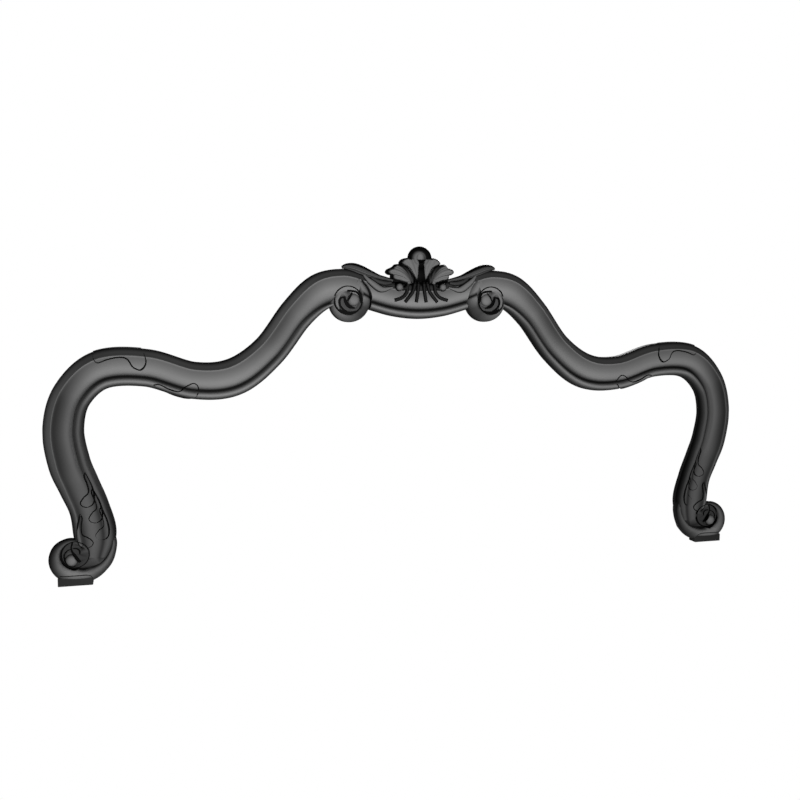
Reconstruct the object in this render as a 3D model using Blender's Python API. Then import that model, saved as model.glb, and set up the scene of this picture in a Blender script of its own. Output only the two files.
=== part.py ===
"""Carved crest frame of a two-seater sofa back, built at its real size.

Two S-scroll rails rise from small foot blocks, arch over the shoulders, dip into a
valley and climb to the crest, where each one rolls into a volute. A short sagging
rail joins the volutes and carries a shell cartouche with a leaf spray on either side.
Frame: +X to the viewer's right, +Z up, the carving faces -Y, the back is flat at Y = 0.
The origin is on that flat back, in the middle of the centre rail.
"""
import math

import bmesh
import bpy
from mathutils import Matrix, Vector

# Clearance that touching pieces keep, and the sizes that all pieces share, in metres
GAP = 0.0003

RAIL_COLOUR = (0.10, 0.10, 0.10)
BLOCK_COLOUR = (0.055, 0.055, 0.055)
ROUGHNESS = 0.45

# Left scroll rail: its centreline from foot to crest as x, z and the width across it
RAIL_ROUTE = [
    (-0.7080, -0.5380, 0.060),
    (-0.7035, -0.4900, 0.086),
    (-0.7140, -0.4330, 0.080),
    (-0.7330, -0.3840, 0.081),
    (-0.7510, -0.3350, 0.083),
    (-0.7600, -0.2650, 0.081),
    (-0.7410, -0.1960, 0.079),
    (-0.6840, -0.1450, 0.081),
    (-0.5910, -0.1420, 0.079),
    (-0.4950, -0.1700, 0.079),
    (-0.4100, -0.1640, 0.081),
    (-0.3360, -0.1110, 0.074),
    (-0.2740, -0.0300, 0.075),
    (-0.2230, 0.0170, 0.080),
    (-0.1750, 0.0290, 0.079),
    (-0.1395, 0.0222, 0.076),
]
RAIL_STATIONS = 31
CENTRE_ROUTE = [
    (-0.1392, 0.0221, 0.076),
    (-0.1120, 0.0160, 0.071),
    (-0.0550, 0.0020, 0.074),
    (0.0000, -0.0025, 0.077),
    (0.0550, 0.0020, 0.074),
    (0.1120, 0.0160, 0.071),
    (0.1392, 0.0221, 0.076),
]
CENTRE_STATIONS = 13

# Moulding across the rail: share of the width from the outer edge, and depth in front of the back
MOULDING = [
    (0.000, 0.000), (0.000, 0.016), (0.030, 0.019), (0.190, 0.0295), (0.210, 0.0300),
    (0.240, 0.0290), (0.330, 0.0318), (0.440, 0.0338), (0.560, 0.0335), (0.650, 0.0300),
    (0.705, 0.0240), (0.740, 0.0180), (0.775, 0.0205), (0.810, 0.0262), (0.855, 0.0285),
    (0.900, 0.0272), (0.940, 0.0228), (0.975, 0.0165), (1.000, 0.0100), (1.000, 0.000),
]
# The same points where the lower leg is hollowed out like a spoon with a raised inner rim
SPOON = [
    (0.000, 0.000), (0.000, 0.014), (0.030, 0.0175), (0.120, 0.0255), (0.150, 0.0265),
    (0.190, 0.0250), (0.300, 0.0225), (0.420, 0.0212), (0.530, 0.0212), (0.620, 0.0218),
    (0.680, 0.0228), (0.725, 0.0242), (0.765, 0.0260), (0.805, 0.0276), (0.850, 0.0285),
    (0.895, 0.0278), (0.940, 0.0245), (0.975, 0.0180), (1.000, 0.0100), (1.000, 0.000),
]
SPOON_END = 0.10
MOULDING_START = 0.30
# At the foot the body dives under the floor of the volute, to this share of its depth
DIVE_SHARE = 0.72
DIVE_END = 0.07

# Volutes: centre, then rows of angle in degrees, outer radius and width of the roll
FOOT_CENTRE = (-0.7510, -0.5400)
FOOT_ROLL = [
    (32, 0.1020, 0.014), (10, 0.0905, 0.017), (-26, 0.0713, 0.019), (-60, 0.0585, 0.022),
    (-100, 0.0500, 0.024), (-140, 0.0470, 0.026), (-180, 0.0467, 0.025), (-225, 0.0467, 0.020),
    (-270, 0.0460, 0.0145), (-315, 0.0417, 0.013), (-345, 0.0360, 0.012), (-380, 0.0300, 0.011),
    (-420, 0.0260, 0.009), (-470, 0.0225, 0.007), (-530, 0.0200, 0.005),
]
FOOT_DISC_END = -328
CREST_CENTRE = (-0.1626, -0.0030)
CREST_ROLL = [
    (66, 0.0600, 0.007), (47, 0.0547, 0.012), (3, 0.0520, 0.021), (-45, 0.0490, 0.020),
    (-94, 0.0450, 0.016), (-135, 0.0425, 0.0145), (-180, 0.0400, 0.013), (-225, 0.0365, 0.010),
    (-263, 0.0330, 0.008), (-310, 0.0300, 0.007), (-360, 0.0275, 0.0065), (-415, 0.0275, 0.006),
    (-470, 0.0270, 0.0055), (-530, 0.0240, 0.005),
]
CREST_DISC_END = -294
FOOT_FLOOR = 0.022
CREST_FLOOR = 0.0345
ROLL_MARGIN = 0.0022
EYE_RADIUS = 0.0120
EYE_RISE = 0.009

# Foot blocks, the tenons that drop into the sofa's arm
BLOCK_X = -0.7447
BLOCK_WIDTH = 0.070
BLOCK_TOP = -0.5745
BLOCK_BOTTOM = -0.5925
BLOCK_DEPTH = 0.028
BLOCK_BEVEL = 0.0015

# Low leaves carved on the rail. Each is a comma: its edges are given down its length as
# shares of that length, left and right of the line from its tip
COMMA_EDGES = [
    (0.00, 0.000, 0.000), (0.12, -0.030, 0.060), (0.35, 0.050, 0.160), (0.57, 0.075, 0.220),
    (0.70, -0.050, 0.235), (0.85, -0.147, 0.220), (0.95, -0.110, 0.150), (1.00, 0.000, 0.040),
]
# Tip x, z, length, turn in degrees from straight down, 1 or -1 for the side of its lobe,
# and how far it stands above the rail, so that overlapping leaves lie one on the other
COMMA_LEAVES = [
    (-0.7194, -0.3558, 0.073, 0, 1, 0.0022), (-0.7059, -0.3899, 0.073, 2, 1, 0.0027),
    (-0.6897, -0.4286, 0.071, -2, 1, 0.0033), (-0.7319, -0.4430, 0.074, 12, -1, 0.0025),
    (-0.5780, -0.1770, 0.093, 82, -1, 0.0026),
]
SHOULDER_RISE = 0.0026
# The shoulder leaf lies over the rail's outer band: its lower edge, then it closes above
SHOULDER_LEAF = [
    (-0.6975, -0.0900), (-0.6968, -0.1181), (-0.6918, -0.1272), (-0.6852, -0.1281),
    (-0.6702, -0.1223), (-0.6487, -0.1178), (-0.6354, -0.1189), (-0.6271, -0.1247),
    (-0.6205, -0.1364), (-0.6130, -0.1420), (-0.6050, -0.1445), (-0.5980, -0.1405),
    (-0.5931, -0.1314), (-0.5931, -0.1214), (-0.5973, -0.1100), (-0.6050, -0.0900),
]

# Shell cartouche: lobes as centre x, z, half width, half height, turn in degrees and front
KNOB = (0.0, 0.0930, 0.0285, 0.0265, 0, 0.0400)
BACKING = (0.0, 0.0600, 0.0560, 0.0340, 0, 0.0325)
SHELL_LOBES = [
    (0.0340, 0.0770, 0.0140, 0.0160, -25, 0.0380),
    (0.0535, 0.0690, 0.0105, 0.0100, -20, 0.0350),
    (0.0560, 0.0590, 0.0220, 0.0125, -8, 0.0390),
    (0.0330, 0.0490, 0.0230, 0.0120, -48, 0.0430),
]
# Bars of the sheaf as x, z points down each bar, all of one radius
FLUTES = [
    [(0.0055, 0.0600), (0.0072, 0.0355), (0.0088, 0.0125), (0.0118, -0.0043)],
    [(0.0150, 0.0550), (0.0205, 0.0370), (0.0256, 0.0187), (0.0355, -0.0043)],
    [(0.0400, 0.0500), (0.0335, 0.0340), (0.0340, 0.0170), (0.0440, 0.0050), (0.0610, -0.0002)],
    [(0.0330, 0.0300), (0.0420, 0.0220), (0.0520, 0.0240)],
]
FLUTE_RADIUS = 0.0044
FLUTE_DEPTH = 0.0350
SHEAF_EYE = (0.0539, 0.0279, 0.0090)
SHEAF_EYE_BACK = 0.0260
SHEAF_EYE_FRONT = 0.0410
# Everything behind the flat back is cut off the cartouche along this square
WALL_OUTLINE = [(-0.2, -0.1), (0.2, -0.1), (0.2, 0.2), (-0.2, 0.2)]

# Leaf spray on the left: routes as x, z, radius and depth of the middle in front of the back
UPPER_LEAF = [
    (-0.1765, 0.0715, 0.0030, 0.022), (-0.1660, 0.0735, 0.0065, 0.023),
    (-0.1510, 0.0705, 0.0098, 0.024), (-0.1310, 0.0625, 0.0098, 0.025),
    (-0.1090, 0.0535, 0.0078, 0.026), (-0.0900, 0.0480, 0.0058, 0.027),
    (-0.0730, 0.0440, 0.0040, 0.028),
]
LOWER_LEAF = [
    (-0.1340, 0.0560, 0.0030, 0.030), (-0.1230, 0.0430, 0.0062, 0.033),
    (-0.1060, 0.0310, 0.0085, 0.034), (-0.0860, 0.0270, 0.0085, 0.034),
    (-0.0690, 0.0330, 0.0050, 0.034),
]
MIDDLE_LEAF = [
    (-0.1080, 0.0510, 0.0030, 0.028), (-0.0980, 0.0430, 0.0058, 0.034),
    (-0.0820, 0.0390, 0.0062, 0.036), (-0.0670, 0.0430, 0.0040, 0.034),
]


def blend_rows(rows, share):
    """Read a smooth curve through the rows at a share of the way from first to last."""
    place = share * (len(rows) - 1)
    i = min(int(place), len(rows) - 2)
    t = place - i
    before = rows[max(i - 1, 0)]
    after = rows[min(i + 2, len(rows) - 1)]
    values = []
    for p0, p1, p2, p3 in zip(before, rows[i], rows[i + 1], after):
        bend = 2 * p0 - 5 * p1 + 4 * p2 - p3
        twist = 3 * p1 - 3 * p2 + p3 - p0
        values.append(0.5 * (2 * p1 + (p2 - p0) * t + bend * t * t + twist * t ** 3))
    return values


def smooth_rows(rows, count):
    return [blend_rows(rows, k / (count - 1)) for k in range(count)]


def smoothstep(low, high, value):
    t = min(max((value - low) / (high - low), 0.0), 1.0)
    return t * t * (3 - 2 * t)


def add_object(name, mesh, collection):
    piece = bpy.data.objects.new(name, mesh)
    collection.objects.link(piece)
    return piece


def finish_mesh(bm, name):
    bmesh.ops.remove_doubles(bm, verts=bm.verts, dist=0.00002)
    bmesh.ops.dissolve_degenerate(bm, edges=bm.edges, dist=0.00002)
    bmesh.ops.recalc_face_normals(bm, faces=bm.faces)
    mesh = bpy.data.meshes.new(name)
    bm.to_mesh(mesh)
    bm.free()
    return mesh


def loft(name, rings):
    """Close a skin over rings of equal length: the rail's section changes on its way."""
    bm = bmesh.new()
    skins = [[bm.verts.new(point) for point in ring] for ring in rings]
    count = len(skins[0])
    for ring, following in zip(skins, skins[1:]):
        for k in range(count):
            n = (k + 1) % count
            bm.faces.new((ring[k], ring[n], following[n], following[k]))
    bm.faces.new(skins[0])
    bm.faces.new(skins[-1])
    return add_object(name, finish_mesh(bm, name), guides)


def curve_to_mesh(name, curve_object):
    depsgraph = bpy.context.evaluated_depsgraph_get()
    mesh = bpy.data.meshes.new_from_object(curve_object.evaluated_get(depsgraph))
    mesh.transform(curve_object.matrix_world)
    curve = curve_object.data
    bpy.data.objects.remove(curve_object)
    bpy.data.curves.remove(curve)
    bm = bmesh.new()
    bm.from_mesh(mesh)
    bpy.data.meshes.remove(mesh)
    return add_object(name, finish_mesh(bm, name), guides)


def prism(name, outline, back, front):
    """Extrude a flat outline of x and z from one depth to another."""
    curve = bpy.data.curves.new(name, 'CURVE')
    curve.dimensions = '2D'
    curve.fill_mode = 'BOTH'
    curve.extrude = (front - back) / 2
    spline = curve.splines.new('POLY')
    spline.points.add(len(outline) - 1)
    for point, (x, z) in zip(spline.points, outline):
        point.co = (x, z, 0, 1)
    spline.use_cyclic_u = True
    flat = bpy.data.objects.new(name, curve)
    guides.objects.link(flat)
    flat.rotation_euler = (math.pi / 2, 0, 0)
    flat.location.y = -(front + back) / 2
    bpy.context.view_layer.update()
    return curve_to_mesh(name, flat)


def tube(name, rows, sides=2):
    """Bend a round tapered bar along rows of x, z, radius and depth."""
    curve = bpy.data.curves.new(name, 'CURVE')
    curve.dimensions = '3D'
    curve.bevel_depth = 1.0
    curve.bevel_resolution = sides
    curve.use_fill_caps = True
    spline = curve.splines.new('POLY')
    spline.points.add(len(rows) - 1)
    for point, (x, z, radius, depth) in zip(spline.points, rows):
        point.co = (x, -depth, z, 1)
        point.radius = radius
    bar = bpy.data.objects.new(name, curve)
    guides.objects.link(bar)
    bpy.context.view_layer.update()
    return curve_to_mesh(name, bar)


def dome(name, x, z, half_width, half_height, turn, back, front, rings=5, segments=12):
    """Make an egg-shaped boss whose middle lies halfway between its back and its front."""
    bm = bmesh.new()
    bmesh.ops.create_uvsphere(bm, u_segments=segments, v_segments=rings, radius=1.0)
    shape = Matrix.Diagonal((half_width, (front - back) / 2, half_height, 1))
    upright = Matrix.Rotation(math.pi / 2, 4, 'X')
    place = Matrix.Translation((x, -(front + back) / 2, z))
    turned = Matrix.Rotation(math.radians(turn), 4, 'Y')
    bmesh.ops.transform(bm, matrix=place @ turned @ shape @ upright, verts=bm.verts)
    return add_object(name, finish_mesh(bm, name), guides)


def combine(base, tool, operation, solver='EXACT'):
    """Join a tool to the base or cut it away, and drop the tool."""
    step = base.modifiers.new(operation.title(), 'BOOLEAN')
    step.operation = operation
    step.solver = solver
    step.object = tool
    bpy.context.view_layer.update()
    depsgraph = bpy.context.evaluated_depsgraph_get()
    mesh = bpy.data.meshes.new_from_object(base.evaluated_get(depsgraph))
    base.modifiers.clear()
    base.data = mesh
    bpy.data.objects.remove(tool)
    return base


def union(base, tools, solver='EXACT'):
    for tool in tools:
        combine(base, tool, 'UNION', solver)
    return base


def copy_of(piece, name):
    return add_object(name, piece.data.copy(), guides)


def section(x, z, width, direction, shape, grow=0.0):
    """Stand the moulding across the route; grow fattens it for use as a cutter."""
    outward = Vector((-direction[1], direction[0]))
    ring = []
    for share, depth in shape:
        across = (0.5 - share) * (width + 2 * grow)
        forward = depth + grow if depth > 0 else -grow
        ring.append((x + outward.x * across, -forward, z + outward.y * across))
    return ring


def rail_skin(name, route, stations, shape_at, grow=0.0):
    """Sweep the moulding along a route."""
    rows = smooth_rows(route, stations)
    rings = []
    for k, (x, z, width) in enumerate(rows):
        ahead = rows[min(k + 1, stations - 1)]
        behind = rows[max(k - 1, 0)]
        direction = Vector((ahead[0] - behind[0], ahead[1] - behind[1])).normalized()
        rings.append(section(x, z, width, direction, shape_at(k / (stations - 1)), grow))
    return loft(name, rings)


def scroll_shape(share):
    """Pass from the spoon of the lower leg to the full moulding."""
    t = smoothstep(SPOON_END, MOULDING_START, share)
    dive = DIVE_SHARE + (1 - DIVE_SHARE) * smoothstep(0.0, DIVE_END, share)
    return [
        (a + (c - a) * t, (b + (d - b) * t) * dive)
        for (a, b), (c, d) in zip(SPOON, MOULDING)
    ]


def level_shape(share):
    return MOULDING


def on_circle(centre, radius, angle):
    turn = math.radians(angle)
    return centre[0] + radius * math.cos(turn), centre[1] + radius * math.sin(turn)


def volute_outline(centre, roll, end_angle, inset):
    """Outline of the disc behind a roll, following the outer radius for one turn."""
    rows = [row for row in smooth_rows(roll, 40) if row[0] >= end_angle]
    return [on_circle(centre, radius - inset, angle) for angle, radius, width in rows]


def volute_roll(name, centre, roll, steps, depth):
    rows = []
    for angle, radius, width in smooth_rows(roll, steps):
        x, z = on_circle(centre, radius - width / 2, angle)
        rows.append((x, z, width / 2, depth))
    return tube(name, rows, sides=1)


def volute(name, centre, roll, end_angle, steps, floor):
    """Disc, roll and eye of one volute, its floor standing this far in front of the back."""
    disc = prism(name, volute_outline(centre, roll, end_angle, ROLL_MARGIN), 0.0, floor)
    eye = dome(name + "_eye", centre[0] + 0.003, centre[1] - 0.002, EYE_RADIUS, EYE_RADIUS, 0,
               floor - EYE_RISE, floor + EYE_RISE)
    spiral = volute_roll(name + "_roll", centre, roll, steps, floor - 0.001)
    return union(disc, [spiral, eye], 'MANIFOLD')


def comma_outline(tip_x, tip_z, length, turn, side):
    """Outline of a comma leaf hanging from its tip, with its lobe on one side."""
    spin = math.radians(turn)
    down = Vector((math.sin(spin), -math.cos(spin))) * length
    across = Vector((-down.y, down.x)) * side
    rows = smooth_rows(COMMA_EDGES, 8)
    tip = Vector((tip_x, tip_z))
    right = [tip + down * t + across * edge for t, other, edge in rows]
    left = [tip + down * t + across * edge for t, edge, other in rows[1:]]
    return [(p.x, p.y) for p in right + left[::-1]]


def rail_leaves():
    """Raise the low leaves: a fatter rail, cut out along the outlines of the leaves."""
    outlines = [(comma_outline(*leaf[:5]), leaf[5]) for leaf in COMMA_LEAVES]
    leaves = []
    for outline, rise in outlines + [(SHOULDER_LEAF, SHOULDER_RISE)]:
        fat = rail_skin("low_leaf", RAIL_ROUTE, RAIL_STATIONS, scroll_shape, rise)
        leaves.append(combine(fat, prism("leaf_edge", outline, 0.008, 0.06), 'INTERSECT'))
    return leaves


def block_shape(name, grow=0.0):
    """The left foot block; grow makes it the cutter for its own seat in the scroll."""
    height = BLOCK_TOP - BLOCK_BOTTOM
    bm = bmesh.new()
    bmesh.ops.create_cube(bm, size=1.0)
    size = Matrix.Diagonal((BLOCK_WIDTH + 2 * grow, BLOCK_DEPTH + 2 * grow, height + 2 * grow, 1))
    place = Matrix.Translation((BLOCK_X, -BLOCK_DEPTH / 2, BLOCK_BOTTOM + height / 2))
    bmesh.ops.transform(bm, matrix=place @ size, verts=bm.verts)
    if not grow:
        bmesh.ops.bevel(bm, geom=bm.edges, offset=BLOCK_BEVEL, segments=1, profile=0.5,
                        affect='EDGES', material=-1)
    return add_object(name, finish_mesh(bm, name), guides)


def build_scroll_rail(name):
    """Left rail: moulded body, foot volute, crest volute and low leaves in one solid.

    The leaves and discs run nearly level with the body, where only Manifold stays closed.
    """
    body = rail_skin(name, RAIL_ROUTE, RAIL_STATIONS, scroll_shape)
    foot = volute("foot_volute", FOOT_CENTRE, FOOT_ROLL, FOOT_DISC_END, 28, FOOT_FLOOR)
    crest = volute("crest_volute", CREST_CENTRE, CREST_ROLL, CREST_DISC_END, 30, CREST_FLOOR)
    union(body, rail_leaves() + [foot, crest], 'MANIFOLD')
    return combine(body, block_shape("block_cutter", GAP), 'DIFFERENCE', 'MANIFOLD')


def volute_cutter(name):
    """Space that the crest volute takes, with the gap that touching pieces keep."""
    outline = volute_outline(CREST_CENTRE, CREST_ROLL, CREST_DISC_END, -GAP)
    return prism(name, outline, -0.01, 0.07)


def build_centre_rail(name):
    """Centre rail, butted against both volutes and the ends of the scroll rails."""
    centre = rail_skin(name, CENTRE_ROUTE, CENTRE_STATIONS, level_shape)
    body = rail_skin("rail_cutter", RAIL_ROUTE, RAIL_STATIONS, scroll_shape, GAP)
    for cutter in (body, volute_cutter("volute_cutter")):
        combine(centre, mirrored(cutter, cutter.name + "_right"), 'DIFFERENCE')
        combine(centre, cutter, 'DIFFERENCE')
    return centre


def build_shell(name):
    """Cartouche: knob, lobes and sheaf of flutes, cut to sit on the centre rail."""
    x, z, half_width, half_height, turn, front = BACKING
    shell = dome(name, x, z, half_width, half_height, turn, -front, front, segments=14)
    x, z, half_width, half_height, turn, front = KNOB
    tools = [dome("knob", x, z, half_width, half_height, turn, 0.0, front, 6, 16)]
    for side in (-1, 1):
        for x, z, half_width, half_height, turn, front in SHELL_LOBES:
            lobe = dome("lobe", side * x, z, half_width, half_height, side * turn, 0.002, front)
            tools.append(lobe)
        for route in FLUTES:
            rows = [(side * x, z, FLUTE_RADIUS, FLUTE_DEPTH) for x, z in smooth_rows(route, 5)]
            tools.append(tube("flute", rows, sides=1))
        x, z, radius = SHEAF_EYE
        eye = dome("sheaf_eye", side * x, z, radius, radius, 0, SHEAF_EYE_BACK, SHEAF_EYE_FRONT)
        tools.append(eye)
    union(shell, tools)
    combine(shell, prism("wall", WALL_OUTLINE, -0.1, 0.0), 'DIFFERENCE')
    cutter = rail_skin("seat_cutter", CENTRE_ROUTE, CENTRE_STATIONS, level_shape, GAP)
    return combine(shell, cutter, 'DIFFERENCE')


def build_leaf_spray(name):
    """Left spray: two leaves over the field and one along the top of the rail."""
    upper = tube(name, smooth_rows(UPPER_LEAF, 9), sides=1)
    lower = tube("lower_leaf", smooth_rows(LOWER_LEAF, 7), sides=1)
    middle = tube("middle_leaf", smooth_rows(MIDDLE_LEAF, 6), sides=1)
    union(upper, [lower, middle])
    cutters = [
        rail_skin("spray_seat", CENTRE_ROUTE, CENTRE_STATIONS, level_shape, GAP),
        rail_skin("spray_rail_seat", RAIL_ROUTE, RAIL_STATIONS, scroll_shape, GAP),
        volute_cutter("spray_volute_seat"),
    ]
    for cutter in cutters:
        combine(upper, cutter, 'DIFFERENCE')
    return upper


def mirrored(piece, name):
    twin = copy_of(piece, name)
    bm = bmesh.new()
    bm.from_mesh(twin.data)
    bmesh.ops.transform(bm, matrix=Matrix.Scale(-1, 4, (1, 0, 0)), verts=bm.verts)
    bmesh.ops.reverse_faces(bm, faces=bm.faces)
    bm.to_mesh(twin.data)
    bm.free()
    return twin


def ebonised_wood(piece, colour, roughness):
    """Stain one piece: close-grained hardwood under a satin charcoal finish."""
    material = bpy.data.materials.new(piece.name + "_finish")
    material.use_nodes = True
    shader = material.node_tree.nodes["Principled BSDF"]
    shader.inputs["Base Color"].default_value = (*colour, 1.0)
    shader.inputs["Roughness"].default_value = roughness
    shader.inputs["Metallic"].default_value = 0.0
    material.diffuse_color = (*colour, 1.0)
    piece.data.materials.clear()
    piece.data.materials.append(material)


def shade(piece):
    piece.data.shade_smooth()
    piece.data.set_sharp_from_angle(angle=math.radians(30))


for old in list(bpy.data.objects):
    bpy.data.objects.remove(old)
parts = bpy.data.collections.new("carved_sofa_back_panel")
guides = bpy.data.collections.new("cutters")
bpy.context.scene.collection.children.link(parts)
bpy.context.scene.collection.children.link(guides)

rail = build_scroll_rail("left_scroll_rail")
block = block_shape("left_foot_block")
centre = build_centre_rail("centre_rail")
shell = build_shell("shell_cartouche")
spray = build_leaf_spray("left_leaf_spray")
twins = [mirrored(piece, piece.name.replace("left", "right")) for piece in (rail, block, spray)]
for piece in [rail, block, centre, shell, spray] + twins:
    guides.objects.unlink(piece)
    parts.objects.link(piece)
    is_block = piece.name.endswith("foot_block")
    ebonised_wood(piece, BLOCK_COLOUR if is_block else RAIL_COLOUR, ROUGHNESS)
    shade(piece)
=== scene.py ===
import math

import bmesh
import bpy
import numpy as np
from mathutils import Matrix, Vector, geometry
from mathutils.kdtree import KDTree


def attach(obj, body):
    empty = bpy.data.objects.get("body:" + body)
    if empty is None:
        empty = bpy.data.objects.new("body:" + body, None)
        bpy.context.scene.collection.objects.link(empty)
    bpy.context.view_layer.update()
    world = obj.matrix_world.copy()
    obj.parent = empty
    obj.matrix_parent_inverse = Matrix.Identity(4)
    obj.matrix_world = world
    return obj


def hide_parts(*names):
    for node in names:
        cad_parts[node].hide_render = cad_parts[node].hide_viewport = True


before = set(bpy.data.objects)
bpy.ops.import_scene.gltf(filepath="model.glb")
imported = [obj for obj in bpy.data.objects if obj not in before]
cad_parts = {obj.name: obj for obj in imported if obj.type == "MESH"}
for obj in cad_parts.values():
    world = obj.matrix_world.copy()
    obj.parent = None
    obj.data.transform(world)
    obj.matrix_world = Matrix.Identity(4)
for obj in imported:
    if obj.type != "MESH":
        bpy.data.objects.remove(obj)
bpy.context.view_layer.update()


# Scroll rails
# The two S-scroll rails are band-sawn from thick hardwood plank and carved with a running
# moulding: a sloped outer band, a sharp ridge, a full round field, a deep groove and a bead.
# They end in volutes at the foot and the crest, and are glued and dowelled to the centre rail.

# Centreline of the left rail from foot to crest as x, z and the width across it, in metres
RAIL_ROUTE = [
    (-0.7080, -0.5380, 0.060), (-0.7035, -0.4900, 0.086), (-0.7140, -0.4330, 0.080),
    (-0.7330, -0.3840, 0.081), (-0.7510, -0.3350, 0.083), (-0.7600, -0.2650, 0.081),
    (-0.7410, -0.1960, 0.079), (-0.6840, -0.1450, 0.081), (-0.5910, -0.1420, 0.079),
    (-0.4950, -0.1700, 0.079), (-0.4100, -0.1640, 0.081), (-0.3360, -0.1110, 0.074),
    (-0.2740, -0.0300, 0.075), (-0.2230, 0.0170, 0.080), (-0.1750, 0.0290, 0.079),
    (-0.1395, 0.0222, 0.076),
]
RAIL_STATIONS = 300

# Across the rail: share of the width from the outer edge, depth in front of the back, and
# the painted light and shade where the rail runs level and where it stands upright, with a painted
# highlight on the ridge and painted shade in the groove
MOULDING = [
    (0.000, 0.0000, 0.02, 0.00), (0.000, 0.0000, 0.02, 0.00), (0.000, 0.0150, 0.02, 0.00),
    (0.010, 0.0172, 0.00, 0.02), (0.030, 0.0192, 0.05, 0.16), (0.100, 0.0243, 0.20, 0.38),
    (0.185, 0.0293, 0.17, 0.46), (0.200, 0.0301, 0.70, 0.46), (0.200, 0.0301, 0.90, 0.52),
    (0.215, 0.0299, 0.80, 0.40), (0.235, 0.0300, 0.66, 0.20), (0.280, 0.0310, 0.68, 0.14),
    (0.350, 0.0324, 0.78, 0.18), (0.430, 0.0336, 0.90, 0.26), (0.500, 0.0340, 1.00, 0.34),
    (0.560, 0.0336, 1.00, 0.42), (0.620, 0.0320, 0.88, 0.48), (0.665, 0.0292, 0.60, 0.42),
    (0.700, 0.0250, 0.30, 0.44), (0.722, 0.0208, 0.08, 0.30), (0.742, 0.0180, 0.01, 0.08),
    (0.760, 0.0188, 0.02, 0.30), (0.780, 0.0215, 0.16, 0.46), (0.805, 0.0252, 0.50, 0.50),
    (0.835, 0.0277, 0.86, 0.46), (0.870, 0.0284, 1.00, 0.38), (0.905, 0.0270, 0.66, 0.26),
    (0.940, 0.0234, 0.28, 0.14), (0.970, 0.0180, 0.10, 0.05), (0.992, 0.0118, 0.02, 0.01),
    (1.000, 0.0080, 0.00, 0.00), (1.000, 0.0000, 0.00, 0.00), (1.000, 0.0000, 0.00, 0.00),
]
# The same rows where the lower leg is hollowed out like a spoon with a raised inner rim
SPOON = [
    (0.000, 0.0000, 0.02, 0.00), (0.000, 0.0000, 0.02, 0.00), (0.000, 0.0130, 0.02, 0.00),
    (0.010, 0.0156, 0.04, 0.02), (0.030, 0.0175, 0.10, 0.08), (0.075, 0.0220, 0.30, 0.26),
    (0.120, 0.0255, 0.60, 0.44), (0.142, 0.0262, 0.60, 0.48), (0.150, 0.0262, 0.56, 0.46),
    (0.165, 0.0257, 0.40, 0.30), (0.190, 0.0248, 0.20, 0.14), (0.240, 0.0236, 0.20, 0.12),
    (0.310, 0.0224, 0.30, 0.26), (0.400, 0.0215, 0.44, 0.42), (0.475, 0.0212, 0.46, 0.46),
    (0.540, 0.0212, 0.44, 0.42), (0.600, 0.0215, 0.38, 0.34), (0.645, 0.0221, 0.30, 0.24),
    (0.680, 0.0230, 0.24, 0.16), (0.705, 0.0239, 0.22, 0.16), (0.727, 0.0247, 0.26, 0.22),
    (0.747, 0.0255, 0.32, 0.30), (0.768, 0.0263, 0.38, 0.36), (0.795, 0.0273, 0.44, 0.42),
    (0.825, 0.0281, 0.44, 0.40), (0.862, 0.0285, 0.36, 0.30), (0.900, 0.0277, 0.22, 0.18),
    (0.938, 0.0248, 0.10, 0.08), (0.970, 0.0196, 0.04, 0.02), (0.992, 0.0128, 0.00, 0.00),
    (1.000, 0.0080, 0.00, 0.00), (1.000, 0.0000, 0.00, 0.00), (1.000, 0.0000, 0.00, 0.00),
]
PROFILE_POINTS, LEAST_STEP = 92, 0.0002
# Shares of the rail's length where the spoon ends, where the full moulding starts, and over
# which the rail dives to the foot's ground; round of the field, which stays in place
SPOON_END, MOULDING_START, DIVE_END, FIELD_SHARE = 0.10, 0.30, 0.07, 0.55
# Near the crest the groove closes in on the inner edge: its share, how far it moves, and where
GROOVE_SHARE, GROOVE_SHIFT, SHIFT_PLACE = 0.742, 0.13, (0.78, 0.89)
# The rail counts as upright where its run leans less than the first of these from the
# plumb line, as a sine, and as level at the second; the others bend and limit the change
UPRIGHT, LEVEL, LEVEL_BEND, LEVEL_MOST = 0.15, 1.0, 1.6, 0.88
# The rails end this far to each side of the middle
RAIL_REACH = 0.8004
# How light the thin stain is on the sawn back, and how light the side walls are at least, which carry
# painted shade near black
BACK_TONE, WALL_TONE = 0.42, 0.05
# Faces this near the moulding, and this far past its edges, take its tone
ON_RAIL, PAST_EDGE = 0.0035, 0.02
# Elsewhere painted shade darkens the tone as the surface turns away from the front: the least turn, its
# span and power
TURN_LEAST, TURN_SPAN, TURN_POWER = 0.05, 0.93, 3

# Volutes: centre, then rows of angle in degrees, outer radius and width of the roll
FOOT_CENTRE = (-0.7510, -0.5400)
FOOT_ROLL = [
    (32, 0.1020, 0.010), (20, 0.0970, 0.011), (8, 0.0895, 0.015), (-8, 0.0810, 0.022),
    (-26, 0.0713, 0.0310), (-60, 0.0585, 0.0400), (-100, 0.0500, 0.0355), (-140, 0.0470, 0.0315),
    (-180, 0.0467, 0.0270), (-225, 0.0467, 0.0165), (-270, 0.0460, 0.0075), (-300, 0.0430, 0.0040),
    (-328, 0.0400, 0.0030),
]
FOOT_DISC_END = -328
CREST_CENTRE = (-0.1626, -0.0030)
CREST_ROLL = [
    (66, 0.0600, 0.007), (47, 0.0547, 0.012), (3, 0.0520, 0.021), (-45, 0.0490, 0.020),
    (-94, 0.0450, 0.016), (-135, 0.0425, 0.0145), (-180, 0.0400, 0.013), (-225, 0.0365, 0.010),
    (-263, 0.0330, 0.008), (-310, 0.0300, 0.007), (-360, 0.0275, 0.0065), (-415, 0.0275, 0.006),
    (-470, 0.0270, 0.0055), (-530, 0.0240, 0.005),
]
CREST_DISC_END = -294
FOOT_FLOOR, CREST_FLOOR = 0.022, 0.0345
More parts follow.
